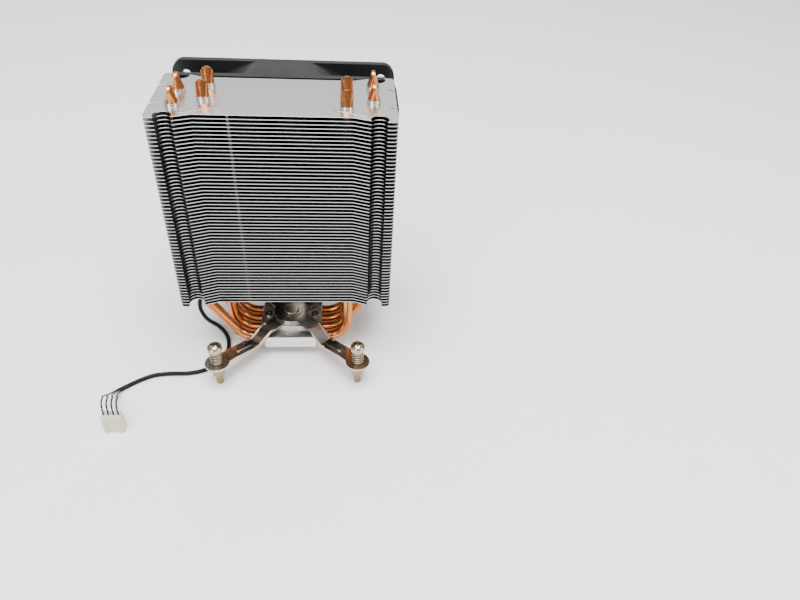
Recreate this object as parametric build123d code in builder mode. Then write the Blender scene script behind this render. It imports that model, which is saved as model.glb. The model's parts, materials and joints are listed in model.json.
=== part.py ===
from build123d import *
from math import cos, hypot, pi, radians, sin, sqrt, tan
import os

os.makedirs("parts", exist_ok=True)

# Tower cooler for a desktop processor: a finned stack on four heat pipes, a direct-contact base,
# a crossed two-arm bracket with four spring screws, and a 120 mm fan behind the fins.
# Millimetres. Origin: centre of the base's contact face, which rests on the processor.
# +X to the right, +Y from the fins to the fan, +Z up.

# ---------------------------------------------------------------- driving dimensions
BOARD_Z = -7.5            # top of the board, where the bracket's studs stand
RUN_GAP = 0.15            # between flat faces that turn on each other
RUN_FIT = 0.05            # radial gap of a shaft that turns in its own hole

FIN_COUNT = 57
FIN_PITCH = 2.0
FIN_THICK = 0.4
FIN_LOW_Z = 38.0
FIN_SIDE_INSET = 2.0      # the fins' sides stand in from the fan's sides
FIN_DEPTH = 51.0          # across the corner lobes
FLAT_INSET = 21.0         # from a fin's side to the end of its straight middle
WAIST_INSET = 4.2         # from the lobes' edge to the straight middle
SHOULDER_INSET = (12.7, 1.3)  # from a fin's corner to where the edge turns into the round notch
NOTCH_INSET = (8.8, 6.7)  # from a fin's corner to the bottom of the notch
LOBE_INSET = 5.0          # from a fin's side to the end of the notch
FIN_CORNER_R = 2.0
SLIT_Y = 10.5             # clip slits in the side edges
SLIT_WIDTH = 1.2
SLIT_LENGTH = 3.4
COLLAR_WALL = 0.4
COLLAR_GAP = 0.05         # a collar stops just under the next fin
TOP_COLLAR = 1.7
TAB_X = 21.0              # folded spacer tab by each long edge
TAB_WIDTH = 1.2
TAB_INSET = 1.5           # from the edge
RIDGE_INSET = 7.4         # embossed line around each pipe group, inside the inner legs
RIDGE_OUTSET = 2.2        # and outside the last row
RIDGE_CORNER = (2.4, 4.5)  # the line cuts its corner by this much each way
RIDGE_CORNER_R = 2.0
RIDGE_SIDE_INSET = 2.0    # from the shoulder to the line's outer end
RIDGE_EDGE_INSET = 0.8    # from the near edge to that end
RIDGE_END_INSET = 1.0     # from the far edge to the line's inner end
RIDGE_WIDTH = 0.9
RIDGE_RISE = 0.3

PIPE_OD = 6.0
PIPE_WALL = 0.6
PIPE_MILLED = 0.2         # milled off the pipes at the contact face
PIPE_WEB = 2.0            # base metal between neighbours
PIPE_OUTER_INSET = 11.0   # from the fins' side to the outer legs
PIPE_INNER_INSET = 24.0
PIPE_BEND_R = 13.0
KNEE_DROP = 6.0           # the outer legs lean in towards the base from this far under the fins
OUTER_FOOT_X = 28.0
TIP_LIFT = 2.0            # from the top fin to where the pinched tip begins
TIP_RATIO = 1.2           # length of a pinched tip over the pipe's diameter
TIP_FLATNESS = 4.5        # the pipe's diameter over the thickness of its pinched tip

BASE_X = 36.0
BASE_EDGE = 4.0           # metal outside the first and last pipe
BASE_ROOF = 1.9           # metal over the pipes
BASE_CHAMFER = 3.0
SEAM_Z = 3.4              # scored line round the block
SEAM_SIZE = 0.3
CAP_Y = 22.0
CAP_THICK = 1.8
CAP_CHAMFER = 1.0
CAP_SCREW_X = 14.0
CAP_SCREW_R = 1.1
CAP_SCREW_HEAD_R = 2.2
CAP_SCREW_HEAD = 1.2
CAP_CROSS_LENGTH = 2.4
CAP_CROSS_WIDTH = 0.6
CAP_CROSS_DEPTH = 0.7

SOCKET_SPACING = 80.0     # screw pattern that the bracket is set to
ARM_THICK = 1.6
ARM_HUB_R = 10.5
ARM_WIDTH = 9.0
ARM_PAD_R = 7.0
ARM_PAD_Z = 7.2           # underside of the end pads
ARM_KNEE_Z = 4.9          # underside at the low bend
ARM_DROP_LEAD = 3.5       # the arm starts to drop this far before the base's corner
ARM_DROP_RUN = 1.9        # length along the arm for each millimetre of drop
ARM_PAD_LENGTH = 10.5     # from the pad's hole to the bend where the pad starts
RIB_WIDTH = 3.4
RIB_RISE = 0.8
RIB_START_GAP = 1.0       # from the low bend to the rib
RIB_END_GAP = 3.0         # from the rib to the pad's bend
RIM_WIDTH = 1.1           # raised edges of the steep part
RIM_RISE = 0.7
RIM_OVERRUN = 3.0         # the rims run on past the steep part
PIN_R = 2.4
PIN_HEAD_R = 4.6
PIN_HEAD = 1.1
PIN_HEAD_FILLET = 0.7
PIVOT_WASHER_R = 6.2
WASHER_THICK = 0.4
PIN_SET = 1.4             # depth of the pin in the base block

SCREW_NECK_R = 1.8
SCREW_TIP_R = 1.45        # over the thread
SCREW_HEAD_R = 4.1
SCREW_HEAD_Z = 18.6       # underside of the head
SCREW_HEAD_SIDE = 2.5
SCREW_DOME = 2.0
SCREW_TIP_Z = 1.6
SCREW_POINT = (0.5, 0.8)  # lead-in of the threaded tip, across and up
CROSS_DEPTH = 2.2
CROSS_WIDTH = 1.1
CROSS_LENGTH = 4.6
PAD_HOLE_GAP = 0.6        # around the neck in the pad's hole
SPRING_NECK_GAP = 0.9     # between the neck and the inside of the spring
SPRING_WIRE = 0.8
SPRING_TURNS = 5
SPRING_WASHER_THICK = 0.5
STANDOFF_TOP = 6.7
STANDOFF_FOOT = 0.5
STANDOFF_FLATS = 7.0
STUD_R = 2.0
THREAD_DEPTH = 5.4

FAN_SIZE = 120.0
FAN_DEPTH = 25.0
FAN_GAP = 1.7             # between the fins' lobes and the fan
FAN_OVERHANG = 9.2        # the fan reaches this far under the lowest fin
FAN_CORNER_R = 7.0
FAN_FLANGE = 4.0
FAN_HOLE_INSET = 7.5      # from the fan's sides to its screw holes
FAN_HOLE_R = 2.2          # in the far flange, for a guard or a case
DUCT_WALL = 1.5           # between the duct and the middle of each side
DUCT_NEAR_BULGE = 3.2     # outer radius of the duct over half the fan's size, by the near flange
DUCT_FAR_BULGE = 1.6      # and by the far one
HUB_SEAT_R = 21.0
HUB_SEAT_THICK = 2.6
LABEL_R = 18.0
LABEL_THICK = 0.3
LABEL_INSET = 0.1         # the label lies behind the frame's near face
STRUT_COUNT = 4
STRUT_TURN = 82.0
STRUT_WIDTH = 3.6
STRUT_ROOT = 2.0          # the struts start inside the hub seat
STRUT_TIP = 1.0           # and end inside the duct's wall
HOUSING_R = 4.6
HOUSING_LENGTH = 15.0
HOUSING_FLOOR = 1.0
BEARING_R = 3.4
SHAFT_R = 1.5
SHAFT_FOOT_GAP = 0.4      # between the shaft's foot and the housing's floor
BLADE_COUNT = 9
BLADE_GAP = 1.0           # from blade tips to the duct
BLADE_THICK = 1.5
BLADE_ROOT = (16.0, 10.0, 2.0)    # depth along the axis, width around it and sag of a section
BLADE_MIDDLE = (15.5, 21.0, 2.6)
BLADE_TIP = (14.0, 31.0, 3.2)
BLADE_OVERRUN = 3.0       # the end sections lie this far inside the hub and past the tip circle
BLADE_SINK = 0.6          # the blades start inside the hub's wall
HUB_R = 20.5
HUB_WALL = 1.2
HUB_FACE = 1.8
HUB_FILLET = 1.6
HUB_RIM_GAP = 1.7         # from the hub seat to the rim of the hub
HUB_NOSE_GAP = 1.2        # hub face behind the frame's far face
YOKE_WALL = 1.0
YOKE_RIM_INSET = 0.5      # from the hub's rim to the yoke's rim
MAGNET_WALL = 1.8
MAGNET_RIM_INSET = 0.8
MAGNET_FACE_GAP = 2.2     # from the magnet to the yoke's face
STATOR_GAP = 0.5
STATOR_POLES = 4
STATOR_TURN = 45.0          # the first pole's angle from +X
POLE_WIDTH = 4.0
SHOE_THICK = 1.8
SHOE_SLOT = 5.0           # opening between neighbouring pole shoes
CORE_WALL = 3.0
CORE_INSET = 2.2          # from the hub's rim to the core
CORE_LENGTH = 8.0
COIL_WIDTH = 7.0
COIL_GAP = 0.3
COIL_OVERHANG = 1.2       # of the coils over each end of the core
BOARD_R = 16.5
BOARD_THICK = 1.0

CLIP_PLATE = 1.5
CLIP_INSET = 13.0         # how far the plate reaches in from the fan's side
CLIP_SIDE_WALL = 1.6
CLIP_SIDE_GAP = 0.3
CLIP_REACH_Y = 2.0        # where the side wall ends along the fins
CLIP_HOOK = 0.8
CLIP_HOOK_ROOT = 0.6      # the hook starts inside the side wall
CLIP_END_INSET = 4.0      # the clips are shorter than the fan by this at each end
FAN_SCREW_R = 2.4         # over the thread, which cuts its way into the near flange
FAN_SCREW_HEAD_R = 3.6
FAN_SCREW_HEAD = 1.1
FAN_SCREW_LENGTH = 8.6
FAN_SCREW_FILLET = 0.9
FAN_CROSS_LENGTH = 4.2
FAN_CROSS_WIDTH = 0.9
FAN_CROSS_DEPTH = 0.7

CABLE_OD = 2.5
CABLE_EXIT_X = 8.0
CABLE_EXIT_INSET = 6.8    # from the fan's near face
CABLE_BEND_Z = 17.0       # the cable hangs straight down to here
GROMMET_R = 1.9
GROMMET_LIP_R = 2.8
GROMMET_LIP = 1.5
GROMMET_FILLET = 0.6
GROMMET_DRILL = 4.0       # through the duct's wall
CORNER_SHARE = 0.45       # of the shorter run, taken up by each rounded corner of a cord
WIRE_OD = 0.9
WIRE_SET = 0.605          # from the sleeve's axis to each wire, across and up
WIRE_LEAD = 5.0           # straight run of a wire out of the sleeve
WIRE_FAN = (-96.0, -55.5, 0.0)    # middle of the four wires where they start to spread
WIRE_FAN_SHARE = 0.7      # of the plug's pitch at that place
WIRE_FAN_LIFT = 0.4
WIRE_CLIMB = (-94.0, -64.0, 7.5)  # and where they climb to the plug
WIRE_BEND_Y = 6.0         # from the plug to the bend before it
WIRE_HIGH_Z = 13.0
LEAD_PITCH = 1.05
LEAD_END_GAP = 0.6        # between the leads and the duct
PLUG_AT = (-90.5, -74.0)
PLUG_PITCH = 2.54
PLUG_PINS = 4
PLUG_SIDE = 0.4           # width of the plug over its four pitches
PLUG_DEPTH = 4.6
PLUG_HEIGHT = 12.4
PLUG_RIB_INSET = 1.7      # from the plug's sides to its two key ribs
PLUG_RIB = (0.9, 1.6)
PLUG_RIB_DROP = 2.5       # the ribs end this far under the plug's top
PLUG_BORE = 1.5
PLUG_ROOF = 2.0
TERMINAL_OUTER = 1.4
TERMINAL_INNER = 0.8
TERMINAL_INSET = 1.0      # from the plug's mating face

# ---------------------------------------------------------------- derived sizes and places
FIN_WIDTH = FAN_SIZE - 2 * FIN_SIDE_INSET
WAIST_Y = FIN_DEPTH / 2 - WAIST_INSET
TOP_FIN_Z = FIN_LOW_Z + (FIN_COUNT - 1) * FIN_PITCH
FIN_TOP = TOP_FIN_Z + FIN_THICK

PIPE_R = PIPE_OD / 2
PIPE_AXIS_Z = PIPE_R - PIPE_MILLED
PIPE_SPACING = PIPE_OD + PIPE_WEB
PIPE_ROWS = [(row - 1.5) * PIPE_SPACING for row in range(4)]
PIPE_OUTER_X = FIN_WIDTH / 2 - PIPE_OUTER_INSET
PIPE_INNER_X = FIN_WIDTH / 2 - PIPE_INNER_INSET
OUTER_KNEE_Z = FIN_LOW_Z - KNEE_DROP
TIP_START = FIN_TOP + TIP_LIFT
TIP_TOP = TIP_START + PIPE_OD * TIP_RATIO
TIP_PINCH = PIPE_OD / TIP_FLATNESS
RIDGE_X = PIPE_INNER_X - RIDGE_INSET
RIDGE_BEND_Y = PIPE_ROWS[-1] + RIDGE_OUTSET
RIDGE_SIDE_X = FIN_WIDTH / 2 - SHOULDER_INSET[0] - RIDGE_SIDE_INSET

BASE_Y = PIPE_ROWS[-1] - PIPE_ROWS[0] + PIPE_OD + 2 * BASE_EDGE
BASE_TOP = PIPE_AXIS_Z + PIPE_R + BASE_ROOF
CAP_TOP = BASE_TOP + CAP_THICK
BASE_CORNER = ((BASE_X + BASE_Y) / 2 - BASE_CHAMFER) / sqrt(2)

ARM_REACH = SOCKET_SPACING / sqrt(2)
ARM_A_Z = CAP_TOP + RUN_GAP
ARM_B_Z = ARM_A_Z + ARM_THICK + RUN_GAP
ARM_DROP_START = BASE_CORNER - ARM_DROP_LEAD
ARM_KNEE = ARM_DROP_START + (ARM_A_Z - ARM_KNEE_Z) * ARM_DROP_RUN
ARM_PAD_START = ARM_REACH - ARM_PAD_LENGTH
RIB_START = ARM_KNEE + RIB_START_GAP
RIB_END = ARM_PAD_START - RIB_END_GAP
PIN_HEAD_Z = ARM_B_Z + ARM_THICK + RUN_GAP + WASHER_THICK
PAD_TOP = ARM_PAD_Z + ARM_THICK
PAD_HOLE_R = SCREW_NECK_R + PAD_HOLE_GAP
SPRING_R = SCREW_NECK_R + SPRING_NECK_GAP + SPRING_WIRE / 2
SPRING_WASHER_R = SPRING_R + SPRING_WIRE
SPRING_TOP = SCREW_HEAD_Z - SPRING_WASHER_THICK
CORNERS = [(x, y) for x in (-SOCKET_SPACING / 2, SOCKET_SPACING / 2)
           for y in (-SOCKET_SPACING / 2, SOCKET_SPACING / 2)]

FAN_NEAR_Y = FIN_DEPTH / 2 + FAN_GAP
FAN_FAR_Y = FAN_NEAR_Y + FAN_DEPTH
FAN_LOW_Z = FIN_LOW_Z - FAN_OVERHANG
FAN_Z = FAN_LOW_Z + FAN_SIZE / 2
FAN_HOLE_PITCH = FAN_SIZE - 2 * FAN_HOLE_INSET
DUCT_R = FAN_SIZE / 2 - DUCT_WALL
HUB_SEAT_Y = FAN_NEAR_Y + LABEL_INSET + LABEL_THICK
HUB_SEAT_TOP = HUB_SEAT_Y + HUB_SEAT_THICK
HUB_RIM_Y = HUB_SEAT_TOP + HUB_RIM_GAP
HUB_NOSE_Y = FAN_FAR_Y - HUB_NOSE_GAP
YOKE_R = HUB_R - HUB_WALL
YOKE_FACE_Y = HUB_NOSE_Y - HUB_FACE - YOKE_WALL
MAGNET_R = YOKE_R - YOKE_WALL
STATOR_R = MAGNET_R - MAGNET_WALL - STATOR_GAP
SHAFT_FOOT_Y = HUB_SEAT_TOP + SHAFT_FOOT_GAP
CORE_Y = HUB_RIM_Y + CORE_INSET
COIL_START = HOUSING_R + CORE_WALL + COIL_GAP
COIL_END = sqrt((STATOR_R - SHOE_THICK) ** 2 - COIL_WIDTH ** 2 / 4) - COIL_GAP
COIL_MIDDLE = (COIL_START + COIL_END) / 2
COIL_LENGTH = COIL_END - COIL_START
FIN_SIDE_X = FIN_WIDTH / 2
FAN_SIDE_X = FIN_SIDE_X + CLIP_SIDE_GAP + CLIP_SIDE_WALL
CLIP_PLATE_Y = FAN_NEAR_Y - CLIP_PLATE
CLIP_LENGTH = FAN_SIZE - 2 * CLIP_END_INSET
CABLE_EXIT = (CABLE_EXIT_X, FAN_NEAR_Y + CABLE_EXIT_INSET)
CABLE_Z = BOARD_Z + CABLE_OD / 2
PLUG_TOP = BOARD_Z + PLUG_HEIGHT
PLUG_WIDTH = PLUG_PINS * PLUG_PITCH + PLUG_SIDE


# ---------------------------------------------------------------- helpers
def finish(piece, name):
    """Label a finished piece and write it to its own STEP file."""
    piece.label = name
    export_step(piece, f"parts/{name}.step")


def pipe_legs(row):
    """Left and right leg of a heat pipe: neighbours swap their outer and inner legs."""
    if row % 2 == 0:
        return -PIPE_OUTER_X, PIPE_INNER_X
    return -PIPE_INNER_X, PIPE_OUTER_X


def is_outer(leg_x):
    return abs(leg_x) == PIPE_OUTER_X


PIPE_HOLES = [(leg_x, y) for row, y in enumerate(PIPE_ROWS) for leg_x in pipe_legs(row)]


def fan_plane(y):
    """Sketch plane across the fan's axis; its local y points down."""
    return Plane((0, y, FAN_Z), x_dir=(1, 0, 0), z_dir=(0, 1, 0))


# ---------------------------------------------------------------- fins
def from_corner(inset_x, inset_y):
    """Place on a fin, measured in from its corner."""
    return FIN_WIDTH / 2 - inset_x, FIN_DEPTH / 2 - inset_y


def fin_outline():
    """Face of one fin: one quarter of the edge mirrored twice, less the clip slits."""
    shoulder = from_corner(*SHOULDER_INSET)
    lobe = from_corner(LOBE_INSET, 0)
    with BuildSketch() as outline:
        with BuildLine():
            Polyline((0, WAIST_Y), from_corner(FLAT_INSET, WAIST_INSET), shoulder)
            ThreePointArc(shoulder, from_corner(*NOTCH_INSET), lobe)
            FilletPolyline(lobe, from_corner(0, 0), (FIN_WIDTH / 2, 0), radius=FIN_CORNER_R)
            mirror(about=Plane.YZ)
            mirror(about=Plane.XZ)
        make_face()
        with GridLocations(FIN_WIDTH - SLIT_LENGTH, 2 * SLIT_Y, 2, 2):
            Rectangle(SLIT_LENGTH, SLIT_WIDTH, mode=Mode.SUBTRACT)
        with Locations(*PIPE_HOLES):
            Circle(PIPE_R, mode=Mode.SUBTRACT)
    return outline.sketch


FIN_FACE = fin_outline()


def fin_solid(low_z, collar_height):
    """One fin with its extruded collars."""
    with BuildPart() as fin:
        with BuildSketch(Plane.XY.offset(low_z)):
            add(FIN_FACE)
        extrude(amount=FIN_THICK)
        with BuildSketch(Plane.XY.offset(low_z + FIN_THICK)):
            with Locations(*PIPE_HOLES):
                Circle(PIPE_R + COLLAR_WALL)
                Circle(PIPE_R, mode=Mode.SUBTRACT)
        extrude(amount=collar_height)
    return fin.part


def spaced_fin():
    """The fin that repeats: collars and two folded tabs hold the next fin at the pitch."""
    rise = FIN_PITCH - FIN_THICK - COLLAR_GAP
    tab_y = WAIST_Y - TAB_INSET - FIN_THICK / 2
    plain = fin_solid(0, rise)
    with BuildPart() as fin:
        add(plain)
        with BuildSketch(Plane.XY.offset(FIN_THICK)):
            with Locations((-TAB_X, -tab_y), (TAB_X, tab_y)):
                Rectangle(TAB_WIDTH, FIN_THICK)
        extrude(amount=rise)
    return fin.part


one_fin = spaced_fin()
with BuildPart() as fin_stack:
    with Locations(*[(0, 0, FIN_LOW_Z + level * FIN_PITCH) for level in range(FIN_COUNT - 1)]):
        add(one_fin)
finish(fin_stack.part, "fin_stack")

top_plain = fin_solid(TOP_FIN_Z, TOP_COLLAR)
with BuildPart() as top_fin:
    add(top_plain)
    with BuildSketch(Plane.XY.offset(FIN_TOP)):
        with BuildLine():
            FilletPolyline(
                (RIDGE_SIDE_X, RIDGE_EDGE_INSET - WAIST_Y),
                (RIDGE_X + RIDGE_CORNER[0], -RIDGE_BEND_Y),
                (RIDGE_X, RIDGE_CORNER[1] - RIDGE_BEND_Y),
                (RIDGE_X, WAIST_Y - RIDGE_END_INSET),
                radius=RIDGE_CORNER_R,
            )
            offset(amount=RIDGE_WIDTH / 2, side=Side.BOTH)
        make_face()
        mirror(about=Plane.YZ)
    extrude(amount=RIDGE_RISE)
    with BuildSketch(Plane.XY.offset(FIN_TOP)):
        with Locations(*PIPE_HOLES):
            Circle(PIPE_R)
    extrude(amount=RIDGE_RISE, mode=Mode.SUBTRACT)
finish(top_fin.part, "top_fin")


# ---------------------------------------------------------------- heat pipes
def pipe_route(row, top_z):
    """Centreline corners of a heat pipe in its own upright plane, left leg first."""
    left_x, right_x = pipe_legs(row)
    left = [(left_x, top_z)]
    right = [(right_x, top_z)]
    for leg, leg_x in ((left, left_x), (right, right_x)):
        side = 1 if leg_x > 0 else -1
        if is_outer(leg_x):
            leg.append((leg_x, OUTER_KNEE_Z))
            leg.append((side * OUTER_FOOT_X, PIPE_AXIS_Z))
        else:
            leg.append((leg_x, PIPE_AXIS_Z))
    return left + right[::-1]


def pipe_tip(leg_x, y):
    """Pinched and rounded end: outer legs are pinched along X, inner legs along Y."""
    wide_dir = (0, 1, 0) if is_outer(leg_x) else (1, 0, 0)
    with BuildPart() as tip:
        with BuildSketch(Plane((leg_x, y, TIP_START), x_dir=wide_dir, z_dir=(0, 0, 1))):
            Circle(PIPE_R)
        with BuildSketch(Plane((leg_x, y, TIP_TOP), x_dir=wide_dir, z_dir=(0, 0, 1))):
            Ellipse(PIPE_R, TIP_PINCH / 2)
        loft()
        across_dir = (wide_dir[1], -wide_dir[0], 0)
        with BuildSketch(Plane((leg_x, y, TIP_TOP - PIPE_R), x_dir=wide_dir, z_dir=across_dir)):
            Circle(PIPE_R)
            with Locations((0, -PIPE_OD)):
                Rectangle(PIPE_OD, 2 * PIPE_OD)
        extrude(amount=PIPE_OD, both=True, mode=Mode.INTERSECT)
    return tip.part


for row, y in enumerate(PIPE_ROWS):
    upright = Plane((0, y, 0), x_dir=(1, 0, 0), z_dir=(0, -1, 0))
    tips = [pipe_tip(leg_x, y) for leg_x in pipe_legs(row)]
    with BuildPart() as heat_pipe:
        with BuildLine(upright) as route:
            FilletPolyline(*pipe_route(row, TIP_START), radius=PIPE_BEND_R)
        with BuildSketch(Plane(route.line @ 0, z_dir=route.line % 0)):
            Circle(PIPE_R)
        sweep()
        for tip in tips:
            add(tip)
        with BuildLine(upright) as hollow_route:
            FilletPolyline(*pipe_route(row, TIP_START - PIPE_WALL), radius=PIPE_BEND_R)
        with BuildSketch(Plane(hollow_route.line @ 0, z_dir=hollow_route.line % 0)):
            Circle(PIPE_R - PIPE_WALL)
        sweep(mode=Mode.SUBTRACT)
        with BuildSketch():
            with Locations((0, y)):
                Rectangle(2 * PIPE_OUTER_X, 2 * PIPE_OD)
        extrude(amount=-PIPE_OD, mode=Mode.SUBTRACT)
    finish(heat_pipe.part, f"heat_pipe_{row + 1}")


# ---------------------------------------------------------------- base
with BuildPart() as base_block:
    with BuildSketch():
        Rectangle(BASE_X, BASE_Y)
    extrude(amount=BASE_TOP)
    chamfer(base_block.edges().filter_by(Axis.Z), length=BASE_CHAMFER)
    with BuildSketch(Plane.YZ):
        with Locations(*[(y, PIPE_AXIS_Z) for y in PIPE_ROWS]):
            Circle(PIPE_R)
    extrude(amount=BASE_X, both=True, mode=Mode.SUBTRACT)
    with BuildSketch(Plane.YZ):
        with GridLocations(BASE_Y, 0, 2, 1):
            with Locations((0, SEAM_Z)):
                Rectangle(2 * SEAM_SIZE, SEAM_SIZE)
    extrude(amount=BASE_X, both=True, mode=Mode.SUBTRACT)
    with BuildSketch(Plane.XY.offset(BASE_TOP)):
        Circle(PIN_R)
    extrude(amount=-PIN_SET, mode=Mode.SUBTRACT)
    with BuildSketch(Plane.XY.offset(BASE_TOP)):
        with GridLocations(2 * CAP_SCREW_X, 0, 2, 1):
            Circle(CAP_SCREW_R)
    extrude(amount=-PIN_SET, mode=Mode.SUBTRACT)
finish(base_block.part, "base_block")

with BuildPart() as base_cap:
    with BuildSketch(Plane.XY.offset(BASE_TOP)):
        Rectangle(BASE_X, CAP_Y)
        Circle(PIN_R, mode=Mode.SUBTRACT)
        with GridLocations(2 * CAP_SCREW_X, 0, 2, 1):
            Circle(CAP_SCREW_R, mode=Mode.SUBTRACT)
    extrude(amount=CAP_THICK)
    chamfer(base_cap.edges().filter_by(Axis.Z).group_by(SortBy.LENGTH)[-1], length=CAP_CHAMFER)
finish(base_cap.part, "base_cap")

with BuildPart() as cap_screws:
    with BuildSketch(Plane.XY.offset(BASE_TOP - PIN_SET)):
        with GridLocations(2 * CAP_SCREW_X, 0, 2, 1):
            Circle(CAP_SCREW_R)
    extrude(amount=PIN_SET + CAP_THICK)
    with BuildSketch(Plane.XY.offset(CAP_TOP)):
        with GridLocations(2 * CAP_SCREW_X, 0, 2, 1):
            Circle(CAP_SCREW_HEAD_R)
    extrude(amount=CAP_SCREW_HEAD)
    with BuildSketch(Plane.XY.offset(CAP_TOP + CAP_SCREW_HEAD)):
        with GridLocations(2 * CAP_SCREW_X, 0, 2, 1):
            Rectangle(CAP_CROSS_LENGTH, CAP_CROSS_WIDTH)
            Rectangle(CAP_CROSS_WIDTH, CAP_CROSS_LENGTH)
    extrude(amount=-CAP_CROSS_DEPTH, mode=Mode.SUBTRACT)
finish(cap_screws.part, "cap_screws")

with BuildPart() as pivot_pin:
    with BuildSketch(Plane.XY.offset(BASE_TOP - PIN_SET)):
        Circle(PIN_R)
    extrude(amount=PIN_HEAD_Z - BASE_TOP + PIN_SET)
    with BuildSketch(Plane.XY.offset(PIN_HEAD_Z)):
        Circle(PIN_HEAD_R)
    extrude(amount=PIN_HEAD)
    fillet(pivot_pin.edges().filter_by(GeomType.CIRCLE).sort_by(Axis.Z)[-1], radius=PIN_HEAD_FILLET)
finish(pivot_pin.part, "pivot_pin")

with BuildPart() as pivot_washer:
    with BuildSketch(Plane.XY.offset(PIN_HEAD_Z - WASHER_THICK)):
        Circle(PIVOT_WASHER_R)
        Circle(PIN_R, mode=Mode.SUBTRACT)
    extrude(amount=WASHER_THICK)
finish(pivot_washer.part, "pivot_washer")


# ---------------------------------------------------------------- crossed bracket
def arm_profile(hub_z, lift):
    """Underside of an arm from the pivot outwards, raised by lift."""
    return [
        (0, hub_z + lift),
        (ARM_DROP_START, hub_z + lift),
        (ARM_KNEE, ARM_KNEE_Z + lift),
        (ARM_PAD_START, ARM_PAD_Z + lift),
        (ARM_REACH + 2 * ARM_PAD_R, ARM_PAD_Z + lift),
    ]


def arm_slab(hub_z, low, high, turn):
    """Bent slab between the underside raised by low and by high, over both halves of the arm."""
    upright = Plane((0, 0, 0), x_dir=(cos(turn), sin(turn), 0), z_dir=(sin(turn), -cos(turn), 0))
    lower = arm_profile(hub_z, low)
    upper = arm_profile(hub_z, high)
    right = lower + upper[::-1]
    with BuildPart() as slab:
        with BuildSketch(upright):
            with BuildLine():
                Polyline(*right, close=True)
            make_face()
            mirror(about=Plane.YZ)
        extrude(amount=2 * ARM_HUB_R, both=True)
    return slab.part


def bracket_arm(hub_z, turn):
    """One arm: round hub, two bent blades with rims and a rib, and a pad with a hole at each end."""
    flat = Plane((0, 0, 0), x_dir=(cos(turn), sin(turn), 0), z_dir=(0, 0, 1))
    plate_cut = arm_slab(hub_z, 0, ARM_THICK, turn)
    rim_cut = arm_slab(hub_z, ARM_THICK, ARM_THICK + RIM_RISE, turn)
    rib_cut = arm_slab(hub_z, ARM_THICK, ARM_THICK + RIB_RISE, turn)
    tall = hub_z + 2 * ARM_THICK + RIB_RISE
    steep_middle = (ARM_DROP_START + ARM_KNEE) / 2
    with BuildPart() as rims:
        with BuildSketch(flat):
            for side in (-1, 1):
                for edge in (-1, 1):
                    with Locations((side * steep_middle, edge * (ARM_WIDTH - RIM_WIDTH) / 2)):
                        Rectangle(ARM_KNEE - ARM_DROP_START + 2 * RIM_OVERRUN, RIM_WIDTH)
        extrude(amount=tall)
        add(rim_cut, mode=Mode.INTERSECT)
    with BuildPart() as ribs:
        with BuildSketch(flat):
            for side in (-1, 1):
                with Locations((side * (RIB_START + RIB_END) / 2, 0)):
                    SlotOverall(RIB_END - RIB_START, RIB_WIDTH)
        extrude(amount=tall)
        add(rib_cut, mode=Mode.INTERSECT)
    with BuildPart() as arm:
        with BuildSketch(flat):
            Circle(ARM_HUB_R)
            Rectangle(2 * ARM_REACH, ARM_WIDTH)
            with Locations((-ARM_REACH, 0), (ARM_REACH, 0)):
                Circle(ARM_PAD_R)
                Circle(PAD_HOLE_R, mode=Mode.SUBTRACT)
            Circle(PIN_R + RUN_FIT, mode=Mode.SUBTRACT)
        extrude(amount=tall)
        add(plate_cut, mode=Mode.INTERSECT)
        add(rims.part)
        add(ribs.part)
    return arm.part


finish(bracket_arm(ARM_A_Z, radians(45)), "bracket_arm_a")
finish(bracket_arm(ARM_B_Z, radians(-45)), "bracket_arm_b")


# ---------------------------------------------------------------- spring screws and standoffs
def spring_screw(x, y):
    """Domed head with a cross recess, plain neck and threaded tip."""
    rim_z = SCREW_HEAD_Z + SCREW_HEAD_SIDE
    top_z = rim_z + SCREW_DOME
    dome_r = (SCREW_HEAD_R ** 2 + SCREW_DOME ** 2) / (2 * SCREW_DOME)
    dome_centre = top_z - dome_r
    dome_middle = dome_centre + sqrt(dome_r ** 2 - SCREW_HEAD_R ** 2 / 4)
    with BuildPart() as screw:
        with BuildSketch(Plane((x, y, 0), x_dir=(1, 0, 0), z_dir=(0, -1, 0))):
            with BuildLine():
                Polyline(
                    (0, top_z),
                    (0, SCREW_TIP_Z),
                    (SCREW_TIP_R - SCREW_POINT[0], SCREW_TIP_Z),
                    (SCREW_TIP_R, SCREW_TIP_Z + SCREW_POINT[1]),
                    (SCREW_TIP_R, STANDOFF_TOP + RUN_GAP),
                    (SCREW_NECK_R, STANDOFF_TOP + RUN_GAP),
                    (SCREW_NECK_R, SCREW_HEAD_Z),
                    (SCREW_HEAD_R, SCREW_HEAD_Z),
                    (SCREW_HEAD_R, rim_z),
                )
                ThreePointArc((SCREW_HEAD_R, rim_z), (SCREW_HEAD_R / 2, dome_middle), (0, top_z))
            make_face()
        revolve(axis=Axis((x, y, 0), (0, 0, 1)))
        with BuildSketch(Plane((x, y, top_z))):
            Rectangle(CROSS_LENGTH, CROSS_WIDTH)
            Rectangle(CROSS_WIDTH, CROSS_LENGTH)
        extrude(amount=-CROSS_DEPTH, mode=Mode.SUBTRACT)
    return screw.part


def spring_washer(x, y):
    """Flat washer between a spring and the head of its screw."""
    with BuildPart() as washer:
        with BuildSketch(Plane((x, y, SPRING_TOP))):
            Circle(SPRING_WASHER_R)
            Circle(SCREW_NECK_R + RUN_FIT, mode=Mode.SUBTRACT)
        extrude(amount=SPRING_WASHER_THICK - RUN_FIT)
    return washer.part


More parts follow.
